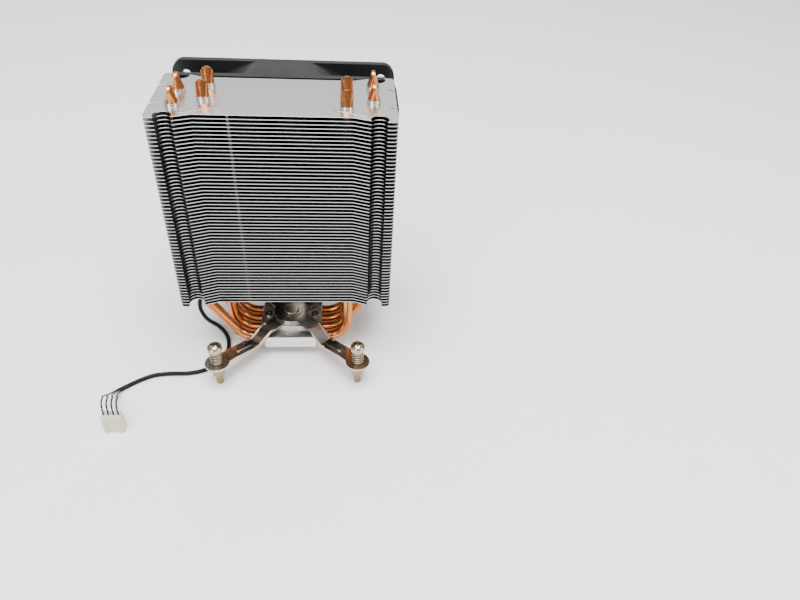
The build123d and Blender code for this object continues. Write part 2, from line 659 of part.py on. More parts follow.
def coil_spring(x, y):
    """Compression spring from the pad of the arm to the washer."""
    height = SPRING_TOP - PAD_TOP - SPRING_WIRE
    with BuildPart() as spring:
        with BuildLine() as coil:
            Helix(
                pitch=height / SPRING_TURNS, height=height, radius=SPRING_R,
                center=(x, y, PAD_TOP + SPRING_WIRE / 2),
            )
        with BuildSketch(Plane(coil.line @ 0, z_dir=coil.line % 0)):
            Circle(SPRING_WIRE / 2)
        sweep(is_frenet=True)
    return spring.part


def standoff(x, y):
    """Hexagonal post with a tapped top and a stud that goes into the socket's frame."""
    with BuildPart() as post:
        with BuildSketch(Plane((x, y, STANDOFF_FOOT))):
            RegularPolygon(radius=STANDOFF_FLATS / 2, side_count=6, major_radius=False)
        extrude(amount=STANDOFF_TOP - STANDOFF_FOOT)
        with BuildSketch(Plane((x, y, BOARD_Z))):
            Circle(STUD_R)
        extrude(amount=STANDOFF_FOOT - BOARD_Z)
        with BuildSketch(Plane((x, y, STANDOFF_TOP))):
            Circle(SCREW_TIP_R + RUN_FIT)
        extrude(amount=-THREAD_DEPTH, mode=Mode.SUBTRACT)
    return post.part


for number, (x, y) in enumerate(CORNERS, start=1):
    finish(spring_screw(x, y), f"spring_screw_{number}")
    finish(spring_washer(x, y), f"spring_washer_{number}")
    finish(coil_spring(x, y), f"coil_spring_{number}")
    finish(standoff(x, y), f"standoff_{number}")


# ---------------------------------------------------------------- fan frame
def flange_face(hole_r):
    """Square flange with the duct and four screw holes of the given radius cut out."""
    with BuildSketch() as face:
        RectangleRounded(FAN_SIZE, FAN_SIZE, FAN_CORNER_R)
        Circle(DUCT_R, mode=Mode.SUBTRACT)
        with GridLocations(FAN_HOLE_PITCH, FAN_HOLE_PITCH, 2, 2):
            Circle(hole_r, mode=Mode.SUBTRACT)
    return face.sketch


def duct_wall():
    """Round wall between the flanges, wider by the near one, cut flat by the frame's four sides."""
    with BuildPart() as duct:
        with BuildSketch(fan_plane(FAN_NEAR_Y)):
            Circle(FAN_SIZE / 2 + DUCT_NEAR_BULGE)
        with BuildSketch(fan_plane(FAN_FAR_Y)):
            Circle(FAN_SIZE / 2 + DUCT_FAR_BULGE)
        loft()
        with BuildSketch(fan_plane(FAN_NEAR_Y)):
            RectangleRounded(FAN_SIZE, FAN_SIZE, FAN_CORNER_R)
            Circle(DUCT_R, mode=Mode.SUBTRACT)
        extrude(amount=FAN_DEPTH, mode=Mode.INTERSECT)
    return duct.part


FLANGES = [
    (FAN_NEAR_Y, FAN_SCREW_R + RUN_FIT),
    (FAN_FAR_Y - FAN_FLANGE, FAN_HOLE_R),
]

with BuildPart() as fan_frame:
    for flange_y, hole_r in FLANGES:
        with BuildSketch(fan_plane(flange_y)):
            add(flange_face(hole_r))
        extrude(amount=FAN_FLANGE)
    add(duct_wall())
    with BuildSketch(fan_plane(HUB_SEAT_Y)):
        Circle(HUB_SEAT_R)
        with PolarLocations(0, STRUT_COUNT, start_angle=STRUT_TURN):
            with Locations(((HUB_SEAT_R - STRUT_ROOT + DUCT_R + STRUT_TIP) / 2, 0)):
                Rectangle(DUCT_R + STRUT_TIP - HUB_SEAT_R + STRUT_ROOT, STRUT_WIDTH)
    extrude(amount=HUB_SEAT_THICK)
    with BuildSketch(fan_plane(HUB_SEAT_TOP)):
        Circle(HOUSING_R)
    extrude(amount=HOUSING_LENGTH)
    with BuildSketch(fan_plane(HUB_SEAT_TOP + HOUSING_LENGTH)):
        Circle(BEARING_R)
    extrude(amount=-HOUSING_LENGTH - HUB_SEAT_THICK + HOUSING_FLOOR, mode=Mode.SUBTRACT)
    with BuildSketch(Plane((*CABLE_EXIT, FAN_LOW_Z))):
        Circle(GROMMET_R)
    extrude(amount=GROMMET_DRILL, mode=Mode.SUBTRACT)
finish(fan_frame.part, "fan_frame")

with BuildPart() as hub_label:
    with BuildSketch(fan_plane(FAN_NEAR_Y + LABEL_INSET)):
        Circle(LABEL_R)
    extrude(amount=LABEL_THICK)
finish(hub_label.part, "hub_label")

# ---------------------------------------------------------------- fan motor, fixed parts
with BuildPart() as bearing_sleeve:
    with BuildSketch(fan_plane(HUB_SEAT_TOP)):
        Circle(BEARING_R)
        Circle(SHAFT_R + RUN_FIT, mode=Mode.SUBTRACT)
    extrude(amount=HOUSING_LENGTH)
finish(bearing_sleeve.part, "bearing_sleeve")

with BuildPart() as motor_board:
    with BuildSketch(fan_plane(HUB_SEAT_TOP)):
        Circle(BOARD_R)
        Circle(HOUSING_R, mode=Mode.SUBTRACT)
    extrude(amount=BOARD_THICK)
finish(motor_board.part, "motor_board")

with BuildPart() as stator_core:
    with BuildSketch(fan_plane(CORE_Y)):
        Circle(HOUSING_R + CORE_WALL)
        with PolarLocations(0, STATOR_POLES):
            with Locations((STATOR_R / 2, 0)):
                Rectangle(STATOR_R, POLE_WIDTH)
        Circle(STATOR_R, mode=Mode.INTERSECT)
    extrude(amount=CORE_LENGTH)
    with BuildSketch(fan_plane(CORE_Y)):
        Circle(STATOR_R)
        Circle(STATOR_R - SHOE_THICK, mode=Mode.SUBTRACT)
        with PolarLocations(0, STATOR_POLES, start_angle=STATOR_TURN):
            with Locations((STATOR_R, 0)):
                Rectangle(4 * SHOE_THICK, SHOE_SLOT, mode=Mode.SUBTRACT)
    extrude(amount=CORE_LENGTH)
    with BuildSketch(fan_plane(CORE_Y)):
        Circle(HOUSING_R)
    extrude(amount=CORE_LENGTH, mode=Mode.SUBTRACT)
finish(stator_core.part, "stator_core")

with BuildPart() as stator_coils:
    with BuildSketch(fan_plane(CORE_Y - COIL_OVERHANG)):
        with PolarLocations(COIL_MIDDLE, STATOR_POLES):
            Rectangle(COIL_LENGTH, COIL_WIDTH)
    extrude(amount=CORE_LENGTH + 2 * COIL_OVERHANG)
    with BuildSketch(fan_plane(CORE_Y)):
        with PolarLocations(COIL_MIDDLE, STATOR_POLES):
            Rectangle(COIL_LENGTH, POLE_WIDTH)
    extrude(amount=CORE_LENGTH, mode=Mode.SUBTRACT)
finish(stator_coils.part, "stator_coils")

# ---------------------------------------------------------------- fan rotor
def blade_section(radius, depth, width, sag):
    """Curved thin section across a blade at the given radius, on the blade's own radial plane."""
    plane = Plane((0, (HUB_RIM_Y + HUB_NOSE_Y) / 2, FAN_Z + radius), x_dir=(0, 1, 0), z_dir=(0, 0, 1))
    with BuildSketch(plane) as section:
        with BuildLine():
            start = (-depth / 2, -width / 2)
            end = (depth / 2, width / 2)
            run = hypot(depth, width)
            across = (-width / run, depth / run)
            ThreePointArc(start, (across[0] * sag, across[1] * sag), end)
            ThreePointArc(
                start, (across[0] * (sag + BLADE_THICK), across[1] * (sag + BLADE_THICK)), end
            )
        make_face()
    return section.sketch


def fan_blade():
    """One blade, lofted from root to tip and trimmed to the tip circle."""
    tip_r = DUCT_R - BLADE_GAP
    sections = [
        blade_section(HUB_R - BLADE_OVERRUN, *BLADE_ROOT),
        blade_section((HUB_R + tip_r) / 2, *BLADE_MIDDLE),
        blade_section(tip_r + BLADE_OVERRUN, *BLADE_TIP),
    ]
    with BuildPart() as blade:
        loft(sections)
        with BuildSketch(fan_plane(FAN_NEAR_Y)):
            Circle(tip_r)
            Circle(HUB_R - BLADE_SINK, mode=Mode.SUBTRACT)
        extrude(amount=FAN_DEPTH, mode=Mode.INTERSECT)
    return blade.part


one_blade = fan_blade()
FAN_AXIS = Axis((0, 0, FAN_Z), (0, 1, 0))
blades = [one_blade.rotate(FAN_AXIS, 360 * turn / BLADE_COUNT) for turn in range(BLADE_COUNT)]

with BuildPart() as impeller:
    with BuildSketch(fan_plane(HUB_RIM_Y)):
        Circle(HUB_R)
    extrude(amount=HUB_NOSE_Y - HUB_RIM_Y)
    fillet(impeller.edges().sort_by(Axis.Y)[-1], radius=HUB_FILLET)
    with BuildSketch(fan_plane(HUB_RIM_Y)):
        Circle(YOKE_R)
    extrude(amount=HUB_NOSE_Y - HUB_RIM_Y - HUB_FACE, mode=Mode.SUBTRACT)
    add(blades)
    with BuildSketch(fan_plane(HUB_NOSE_Y - HUB_FACE)):
        Circle(SHAFT_R)
    extrude(amount=HUB_FACE, mode=Mode.SUBTRACT)
finish(impeller.part, "impeller")

with BuildPart() as yoke_cup:
    with BuildSketch(fan_plane(HUB_RIM_Y + YOKE_RIM_INSET)):
        Circle(YOKE_R)
    extrude(amount=HUB_NOSE_Y - HUB_FACE - HUB_RIM_Y - YOKE_RIM_INSET)
    with BuildSketch(fan_plane(HUB_RIM_Y + YOKE_RIM_INSET)):
        Circle(MAGNET_R)
    extrude(amount=YOKE_FACE_Y - HUB_RIM_Y - YOKE_RIM_INSET, mode=Mode.SUBTRACT)
    with BuildSketch(fan_plane(YOKE_FACE_Y)):
        Circle(SHAFT_R)
    extrude(amount=YOKE_WALL, mode=Mode.SUBTRACT)
finish(yoke_cup.part, "yoke_cup")

with BuildPart() as magnet_ring:
    with BuildSketch(fan_plane(HUB_RIM_Y + MAGNET_RIM_INSET)):
        Circle(MAGNET_R)
        Circle(MAGNET_R - MAGNET_WALL, mode=Mode.SUBTRACT)
    extrude(amount=YOKE_FACE_Y - MAGNET_FACE_GAP - HUB_RIM_Y - MAGNET_RIM_INSET)
finish(magnet_ring.part, "magnet_ring")

with BuildPart() as rotor_shaft:
    with BuildSketch(fan_plane(SHAFT_FOOT_Y)):
        Circle(SHAFT_R)
    extrude(amount=HUB_NOSE_Y - SHAFT_FOOT_Y)
finish(rotor_shaft.part, "rotor_shaft")

# ---------------------------------------------------------------- fan clips and their screws
def fan_clip(side):
    """Angle strip: a plate on the fan's flange, a wall along the fins and a hook in their slits."""
    flat = Plane((0, 0, FAN_Z - CLIP_LENGTH / 2))
    inner_x = FIN_SIDE_X + CLIP_SIDE_GAP
    with BuildPart() as clip:
        with BuildSketch(flat):
            with Locations((side * (FAN_SIDE_X - CLIP_INSET / 2), CLIP_PLATE_Y + CLIP_PLATE / 2)):
                Rectangle(CLIP_INSET, CLIP_PLATE)
            with Locations((side * (inner_x + CLIP_SIDE_WALL / 2), (CLIP_REACH_Y + FAN_NEAR_Y) / 2)):
                Rectangle(CLIP_SIDE_WALL, FAN_NEAR_Y - CLIP_REACH_Y)
            with Locations((side * (inner_x + CLIP_HOOK_ROOT - SLIT_LENGTH / 2), SLIT_Y)):
                Rectangle(SLIT_LENGTH, CLIP_HOOK)
        extrude(amount=CLIP_LENGTH)
        with BuildSketch(fan_plane(CLIP_PLATE_Y)):
            with GridLocations(FAN_HOLE_PITCH, FAN_HOLE_PITCH, 2, 2):
                Circle(FAN_SCREW_R)
        extrude(amount=CLIP_PLATE, mode=Mode.SUBTRACT)
        with BuildSketch(fan_plane(CLIP_PLATE_Y)):
            with GridLocations(FAN_HOLE_PITCH, FAN_HOLE_PITCH, 2, 2):
                Circle(FAN_SCREW_HEAD_R)
        extrude(amount=FAN_SCREW_HEAD, mode=Mode.SUBTRACT)
    return clip.part


finish(fan_clip(-1), "fan_clip_left")
finish(fan_clip(1), "fan_clip_right")

with BuildPart() as fan_screws:
    with BuildSketch(fan_plane(CLIP_PLATE_Y)):
        with GridLocations(FAN_HOLE_PITCH, FAN_HOLE_PITCH, 2, 2):
            Circle(FAN_SCREW_HEAD_R)
    extrude(amount=FAN_SCREW_HEAD)
    with BuildSketch(fan_plane(CLIP_PLATE_Y)):
        with GridLocations(FAN_HOLE_PITCH, FAN_HOLE_PITCH, 2, 2):
            Circle(FAN_SCREW_R)
    extrude(amount=FAN_SCREW_LENGTH)
    fillet(fan_screws.edges().filter_by(GeomType.CIRCLE).group_by(Axis.Y)[-1], radius=FAN_SCREW_FILLET)
    with BuildSketch(fan_plane(CLIP_PLATE_Y)):
        with GridLocations(FAN_HOLE_PITCH, FAN_HOLE_PITCH, 2, 2):
            Rectangle(FAN_CROSS_LENGTH, FAN_CROSS_WIDTH)
            Rectangle(FAN_CROSS_WIDTH, FAN_CROSS_LENGTH)
    extrude(amount=FAN_CROSS_DEPTH, mode=Mode.SUBTRACT)
finish(fan_screws.part, "fan_screws")

# ---------------------------------------------------------------- fan cable
with BuildPart() as cable_grommet:
    with BuildSketch(Plane((*CABLE_EXIT, FAN_LOW_Z - GROMMET_LIP))):
        Circle(GROMMET_LIP_R)
    extrude(amount=GROMMET_LIP)
    with BuildSketch(Plane((*CABLE_EXIT, FAN_LOW_Z))):
        Circle(GROMMET_R)
    extrude(amount=FAN_SIZE / 2 - DUCT_R)
    fillet(cable_grommet.edges().sort_by(Axis.Z)[0], radius=GROMMET_FILLET)
finish(cable_grommet.part, "cable_grommet")

LEAD_TURN = radians(STRUT_TURN)
with BuildPart() as strut_leads:
    for lane in range(PLUG_PINS):
        shift = (lane - (PLUG_PINS - 1) / 2) * LEAD_PITCH
        start = (
            BOARD_R * cos(LEAD_TURN) - shift * sin(LEAD_TURN),
            HUB_SEAT_TOP + WIRE_OD / 2,
            FAN_Z - BOARD_R * sin(LEAD_TURN) - shift * cos(LEAD_TURN),
        )
        with BuildSketch(Plane(start, z_dir=(cos(LEAD_TURN), 0, -sin(LEAD_TURN)))):
            Circle(WIRE_OD / 2 - RUN_FIT)
    extrude(amount=DUCT_R - BOARD_R - LEAD_END_GAP)
finish(strut_leads.part, "strut_leads")

CABLE_POINTS = [
    (*CABLE_EXIT, FAN_LOW_Z - GROMMET_LIP),
    (*CABLE_EXIT, CABLE_BEND_Z),
    (5.0, 42.0, 5.0),
    (-3.0, 53.0, CABLE_Z),
    (-19.0, 62.0, CABLE_Z),
    (-37.5, 65.0, CABLE_Z),
    (-53.5, 58.5, CABLE_Z),
    (-62.5, 45.0, CABLE_Z),
    (-64.5, 29.0, CABLE_Z),
    (-57.3, 14.0, CABLE_Z),
    (-46.4, 6.6, CABLE_Z),
    (-39.6, -4.4, CABLE_Z),
    (-38.4, -17.0, CABLE_Z),
    (-44.0, -28.6, CABLE_Z),
    (-56.0, -34.6, CABLE_Z),
    (-70.8, -34.2, CABLE_Z),
    (-82.6, -36.4, CABLE_Z),
    (-92.4, -44.5, CABLE_Z),
]


def corner_radii(points):
    """Arc radius at each corner of a route: a share of the shorter run over tan(half the turn)."""
    spots = [Vector(*point) for point in points]
    radii = []
    for before, corner, after in zip(spots, spots[1:], spots[2:]):
        arriving = corner - before
        leaving = after - corner
        shorter = min(arriving.length, leaving.length)
        turn = radians(arriving.get_angle(leaving))
        radii.append(CORNER_SHARE * shorter / tan(turn / 2))
    return radii


def cord_tube(points, diameter, name):
    """Tube along straight runs and tangent arcs; prints its length, radii and volume check."""
    radii = corner_radii(points)
    with BuildPart() as tube:
        with BuildLine() as route:
            FilletPolyline(*points, radius=radii)
        with BuildSketch(Plane(route.line @ 0, z_dir=route.line % 0)):
            Circle(diameter / 2)
        sweep()
    length = sum(edge.length for edge in route.edges())
    expected = pi * diameter ** 2 / 4 * length
    print(name, "length", round(length, 1), "radii", [round(radius, 1) for radius in radii],
          "volume ratio", round(tube.part.volume / expected, 4))
    return tube.part


finish(cord_tube(CABLE_POINTS, CABLE_OD, "fan_cable"), "fan_cable")

CABLE_END = Vector(*CABLE_POINTS[-1])
END_WAY = (CABLE_END - Vector(*CABLE_POINTS[-2])).normalized()
END_SIDE = Vector(-END_WAY.Y, END_WAY.X, 0)


def wire_points(lane):
    """Route of one wire, from its place in the end of the sleeve to its place in the plug."""
    offset_x = (lane - (PLUG_PINS - 1) / 2) * PLUG_PITCH
    high = 1 if lane in (1, 2) else -1
    wide = 1 if lane in (2, 3) else -1
    start = CABLE_END + END_SIDE * (wide * WIRE_SET) + Vector(0, 0, high * WIRE_SET)
    lead = start + END_WAY * WIRE_LEAD
    pin_x = PLUG_AT[0] + offset_x
    return [
        tuple(start),
        tuple(lead),
        (WIRE_FAN[0] + offset_x * WIRE_FAN_SHARE, WIRE_FAN[1], WIRE_FAN[2] + high * WIRE_FAN_LIFT),
        (WIRE_CLIMB[0] + offset_x, WIRE_CLIMB[1], WIRE_CLIMB[2]),
        (pin_x, PLUG_AT[1] + WIRE_BEND_Y, WIRE_HIGH_Z),
        (pin_x, PLUG_AT[1], WIRE_HIGH_Z),
        (pin_x, PLUG_AT[1], PLUG_TOP),
    ]


wires = [cord_tube(wire_points(lane), WIRE_OD, f"wire {lane + 1}") for lane in range(PLUG_PINS)]
with BuildPart() as fan_wires:
    add(wires)
finish(fan_wires.part, "fan_wires")

with BuildPart() as fan_plug:
    with BuildSketch(Plane((*PLUG_AT, BOARD_Z))):
        Rectangle(PLUG_WIDTH, PLUG_DEPTH)
    extrude(amount=PLUG_HEIGHT)
    with BuildSketch(Plane((PLUG_AT[0], PLUG_AT[1] - PLUG_DEPTH / 2, BOARD_Z))):
        with GridLocations(PLUG_WIDTH - 2 * PLUG_RIB_INSET, 0, 2, 1):
            Rectangle(*PLUG_RIB)
    extrude(amount=PLUG_HEIGHT - PLUG_RIB_DROP)
    with BuildSketch(Plane((*PLUG_AT, BOARD_Z))):
        with GridLocations(PLUG_PITCH, 0, PLUG_PINS, 1):
            Rectangle(PLUG_BORE, PLUG_BORE)
    extrude(amount=PLUG_HEIGHT - PLUG_ROOF, mode=Mode.SUBTRACT)
finish(fan_plug.part, "fan_plug")

with BuildPart() as plug_terminals:
    with BuildSketch(Plane((*PLUG_AT, BOARD_Z + TERMINAL_INSET))):
        with GridLocations(PLUG_PITCH, 0, PLUG_PINS, 1):
            Rectangle(TERMINAL_OUTER, TERMINAL_OUTER)
            Rectangle(TERMINAL_INNER, TERMINAL_INNER, mode=Mode.SUBTRACT)
    extrude(amount=PLUG_HEIGHT - PLUG_ROOF - 2 * TERMINAL_INSET)
finish(plug_terminals.part, "plug_terminals")
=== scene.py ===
import json
import math

import bmesh
import bpy
from mathutils import Matrix, Vector


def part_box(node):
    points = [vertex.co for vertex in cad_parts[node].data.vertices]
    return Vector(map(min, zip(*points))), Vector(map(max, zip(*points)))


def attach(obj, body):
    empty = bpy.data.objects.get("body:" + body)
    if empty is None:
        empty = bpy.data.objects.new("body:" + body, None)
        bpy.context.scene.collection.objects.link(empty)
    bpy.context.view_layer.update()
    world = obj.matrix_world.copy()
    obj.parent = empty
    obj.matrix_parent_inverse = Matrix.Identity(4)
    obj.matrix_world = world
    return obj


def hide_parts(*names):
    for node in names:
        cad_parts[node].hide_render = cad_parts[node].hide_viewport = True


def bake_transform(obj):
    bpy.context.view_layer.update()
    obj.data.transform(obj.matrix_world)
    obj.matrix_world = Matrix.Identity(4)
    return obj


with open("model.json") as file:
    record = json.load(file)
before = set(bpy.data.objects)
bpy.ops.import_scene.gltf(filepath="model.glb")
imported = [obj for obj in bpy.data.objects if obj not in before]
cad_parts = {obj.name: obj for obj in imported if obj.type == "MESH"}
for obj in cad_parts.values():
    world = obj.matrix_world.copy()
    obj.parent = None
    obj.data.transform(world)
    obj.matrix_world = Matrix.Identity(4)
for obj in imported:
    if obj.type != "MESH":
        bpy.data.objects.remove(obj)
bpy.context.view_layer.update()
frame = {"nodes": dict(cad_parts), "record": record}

MM = 0.001
nodes = frame["nodes"]
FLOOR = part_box("standoff_1")[0].z


# ---------------------------------------------------------------- camera, light and floor
CAMERA_PLACE = (0.0347, -0.3117, 0.2860)
CAMERA_YAW = 5.81        # degrees to the right of +Y
CAMERA_PITCH = 40.20     # degrees below the horizon
CAMERA_ROLL = 3.75
CAMERA_LENS = 29.95
CAMERA_SENSOR = 36.0

LIGHT_TARGET = (0, 0, 0.08)
LIGHTS = (               # name, place, size, power
    ("top", (0.0, -0.25, 1.3), (1.0, 1.0), 38),
    ("front", (-0.75, -1.1, 0.75), (0.5, 0.5), 7),
    ("right", (1.0, -0.5, 0.6), (0.35, 0.6), 4),
    ("back", (0.0, 1.3, 1.1), (2.0, 1.0), 4),
)
SKY = (                  # height on the sky's ramp, colour
    (0.02, (0.16, 0.16, 0.17)),
    (0.55, (0.85, 0.86, 0.88)),
)
FLOOR_REACH = 3.0


def make_camera():
    data = bpy.data.cameras.new("camera")
    data.lens = CAMERA_LENS
    data.sensor_width = CAMERA_SENSOR
    data.clip_start = 0.01
    camera = bpy.data.objects.new("camera", data)
    bpy.context.scene.collection.objects.link(camera)
    turn = Matrix.Rotation(math.radians(-CAMERA_YAW), 4, "Z")
    tilt = Matrix.Rotation(math.radians(90 - CAMERA_PITCH), 4, "X")
    roll = Matrix.Rotation(math.radians(CAMERA_ROLL), 4, "Z")
    camera.matrix_world = Matrix.Translation(CAMERA_PLACE) @ turn @ tilt @ roll
    bpy.context.scene.camera = camera


def area_light(name, place, size, power):
    data = bpy.data.lights.new(name, "AREA")
    data.shape = "RECTANGLE"
    data.size, data.size_y = size
    data.energy = power
    light = bpy.data.objects.new(name, data)
    light.location = place
    light.rotation_euler = (Vector(LIGHT_TARGET) - Vector(place)).to_track_quat("-Z", "Y").to_euler()
    bpy.context.scene.collection.objects.link(light)


def make_sky():
    """Pale sky that darkens toward the ground."""
    world = bpy.data.worlds.new("studio")
    bpy.context.scene.world = world
    world.use_nodes = True
    tree = world.node_tree
    tree.nodes.clear()
    place = tree.nodes.new("ShaderNodeTexCoord")
    split = tree.nodes.new("ShaderNodeSeparateXYZ")
    ramp = tree.nodes.new("ShaderNodeValToRGB")
    background = tree.nodes.new("ShaderNodeBackground")
    output = tree.nodes.new("ShaderNodeOutputWorld")
    for element, (height, colour) in zip(ramp.color_ramp.elements, SKY):
        element.position = height
        element.color = (*colour, 1)
    background.inputs["Strength"].default_value = 1.0
    tree.links.new(place.outputs["Generated"], split.inputs[0])
    tree.links.new(split.outputs["Z"], ramp.inputs["Fac"])
    tree.links.new(ramp.outputs["Color"], background.inputs["Color"])
    tree.links.new(background.outputs["Background"], output.inputs["Surface"])


def make_floor(material):
    mesh = bpy.data.meshes.new("floor")
    corners = [(x * FLOOR_REACH, y * FLOOR_REACH, FLOOR) for x, y in ((-1, -1), (1, -1), (1, 1), (-1, 1))]
    mesh.from_pydata(corners, [], [(0, 1, 2, 3)])
    floor = bpy.data.objects.new("floor", mesh)
    bpy.context.scene.collection.objects.link(floor)
    mesh.materials.append(material)


# ---------------------------------------------------------------- materials
NOISE_LOW = 0.3          # most of the noise lies between these two
NOISE_HIGH = 0.7
COAT_ROUGHNESS = 0.25


class Finish:
    """A Principled material whose detail comes from noise in the part's own millimetres."""

    def __init__(self, name, colour, metallic=0.0, roughness=0.5):
        self.material = bpy.data.materials.new(name)
        self.material.use_nodes = True
        self.tree = self.material.node_tree
        self.shader = self.tree.nodes["Principled BSDF"]
        self.shader.inputs["Base Color"].default_value = (*colour, 1)
        self.shader.inputs["Metallic"].default_value = metallic
        self.shader.inputs["Roughness"].default_value = roughness
        self.place = self.tree.nodes.new("ShaderNodeTexCoord")

    def node(self, kind, **inputs):
        made = self.tree.nodes.new(kind)
        for name, value in inputs.items():
            made.inputs[name.replace("_", " ")].default_value = value
        return made

    def join(self, source, target):
        self.tree.links.new(source, target)

    def noise(self, per_mm, detail=3.0, stretch=(1, 1, 1)):
        """Noise with about per_mm grains a millimetre, drawn out along the axes with a small stretch."""
        mapping = self.node("ShaderNodeMapping")
        mapping.inputs["Scale"].default_value = [per_mm / MM * share for share in stretch]
        noise = self.node("ShaderNodeTexNoise", Scale=1.0, Detail=detail, Roughness=0.6)
        self.join(self.place.outputs["Object"], mapping.inputs["Vector"])
        self.join(mapping.outputs["Vector"], noise.inputs["Vector"])
        return noise.outputs["Fac"]

    def spread(self, factor, low, high):
        """Map a noise factor to the range low to high."""
        ranged = self.node("ShaderNodeMapRange")
        ranged.inputs["From Min"].default_value = NOISE_LOW
        ranged.inputs["From Max"].default_value = NOISE_HIGH
        ranged.inputs["To Min"].default_value = low
        ranged.inputs["To Max"].default_value = high
        self.join(factor, ranged.inputs["Value"])
        return ranged.outputs["Result"]

    def mix(self, factor, first, second):
        """Colour between first and second; each is a colour or a socket."""
        mixer = self.tree.nodes.new("ShaderNodeMix")
        mixer.data_type = "RGBA"
        self.join(factor, mixer.inputs["Factor"])
        for socket, value in ((mixer.inputs[6], first), (mixer.inputs[7], second)):
            if isinstance(value, bpy.types.NodeSocket):
                self.join(value, socket)
            else:
                socket.default_value = (*value, 1)
        return mixer.outputs[2]

    def tint(self, socket):
        self.join(socket, self.shader.inputs["Base Color"])

    def rough(self, factor, low, high):
        self.join(self.spread(factor, low, high), self.shader.inputs["Roughness"])

    def bump(self, factor, depth_mm):
        """Fine height detail."""
        bump = self.node("ShaderNodeBump", Strength=1.0, Distance=depth_mm * MM)
        self.join(factor, bump.inputs["Height"])
        self.join(bump.outputs["Normal"], self.shader.inputs["Normal"])

    def set(self, **values):
        for name, value in values.items():
            self.shader.inputs[name.replace("_", " ")].default_value = value


def shade(colour, share):
    return tuple(min(1.0, channel * share) for channel in colour)


def metal(name, colour, roughness, grain, per_mm, contrast, depth):
    """Metal with drawn-out grain, cloudy tone and small changes of gloss."""
    finish = Finish(name, colour, 1.0, roughness)
    lines = finish.noise(per_mm, 4.0, grain)
    cloud = finish.noise(0.06, 2.0)
    toned = finish.mix(cloud, shade(colour, 1 - contrast), shade(colour, 1 + contrast))
    finish.tint(finish.mix(finish.spread(lines, 0.0, 0.35), toned, shade(colour, 1 - 2 * contrast)))
    finish.rough(lines, roughness * 0.75, roughness * 1.3)
    finish.bump(lines, depth)
    return finish.material


def sheet_stack(name):
    """Thin rolled sheets: glossy, with painted shade that darkens the flats between the sheets and a
    painted highlight that brightens the cut edges.
    """
    finish = Finish(name, (0.5, 0.5, 0.5), 1.0, 0.2)
    facing = finish.tree.nodes.new("ShaderNodeNewGeometry")
    split = finish.tree.nodes.new("ShaderNodeSeparateXYZ")
    size = finish.tree.nodes.new("ShaderNodeMath")
    size.operation = "ABSOLUTE"
    finish.join(facing.outputs["True Normal"], split.inputs[0])
    finish.join(split.outputs["Z"], size.inputs[0])
    lines = finish.noise(1.4, 4.0, (0.05, 1, 1))
    burr = finish.noise(3.0, 3.0)
    # painted shade: the flats, which face up or down, get a darker colour for the shade between the
    # sheets, with grain lines through it
    flat_painted_shade = finish.mix(lines, (0.22, 0.22, 0.225), (0.29, 0.29, 0.295))
    # painted highlight: the cut edges get a brighter colour, with burr noise through it
    edge = finish.mix(burr, (0.34, 0.34, 0.34), (0.62, 0.62, 0.61))
    # how far a face turns up or down picks between the painted highlight on the edges and the painted
    # shade on the flats
    finish.tint(finish.mix(size.outputs[0], edge, flat_painted_shade))
    finish.rough(lines, 0.16, 0.26)
    finish.bump(burr, 0.004)
    return finish.material


def plastic(name, colour, roughness, per_mm, depth, coat=0.0, shine=0.5):
    """Moulded plastic or rubber with a fine sparked texture and a cloudy tone."""
    finish = Finish(name, colour, 0.0, roughness)
    grain = finish.noise(per_mm, 3.0)
    cloud = finish.noise(0.08, 2.0)
    finish.tint(finish.mix(cloud, shade(colour, 0.8), shade(colour, 1.25)))
    finish.rough(cloud, roughness * 0.8, roughness * 1.25)
    finish.bump(grain, depth)
    finish.set(Coat_Weight=coat, Coat_Roughness=COAT_ROUGHNESS, Specular_IOR_Level=shine)
    return finish.material


METALS = {               # colour, roughness, grain, grains a millimetre, contrast, depth of the grain
    "top_aluminium": ((0.70, 0.70, 0.69), 0.26, (0.03, 1, 1), 1.6, 0.03, 0.002),
    "copper": ((0.62, 0.225, 0.075), 0.22, (1, 1, 0.15), 0.8, 0.14, 0.004),
    "base_aluminium": ((0.74, 0.74, 0.74), 0.28, (0.03, 1, 1), 2.2, 0.06, 0.004),
    "bracket_nickel": ((0.46, 0.40, 0.33), 0.18, (1, 1, 1), 0.7, 0.12, 0.006),
    "screw_steel": ((0.42, 0.36, 0.25), 0.15, (1, 1, 0.3), 1.5, 0.14, 0.004),
    "spring_steel": ((0.38, 0.33, 0.24), 0.18, (1, 1, 1), 1.5, 0.12, 0.004),
    "standoff_metal": ((0.28, 0.22, 0.13), 0.26, (1, 1, 0.2), 1.5, 0.14, 0.005),
    "motor_steel": ((0.5, 0.5, 0.52), 0.35, (1, 0.1, 1), 2.0, 0.1, 0.004),
    "coil_copper": ((0.66, 0.30, 0.15), 0.30, (0.2, 1, 1), 2.0, 0.15, 0.02),
    "bearing_bronze": ((0.62, 0.46, 0.24), 0.45, (1, 1, 1), 3.0, 0.1, 0.01),
    "shaft_steel": ((0.78, 0.78, 0.80), 0.12, (1, 0.2, 1), 2.0, 0.04, 0.001),
    "terminal_tin": ((0.78, 0.77, 0.72), 0.25, (1, 1, 0.3), 2.0, 0.06, 0.002),
    "label_foil": ((0.55, 0.56, 0.58), 0.38, (1, 1, 1), 0.5, 0.05, 0.004),
}
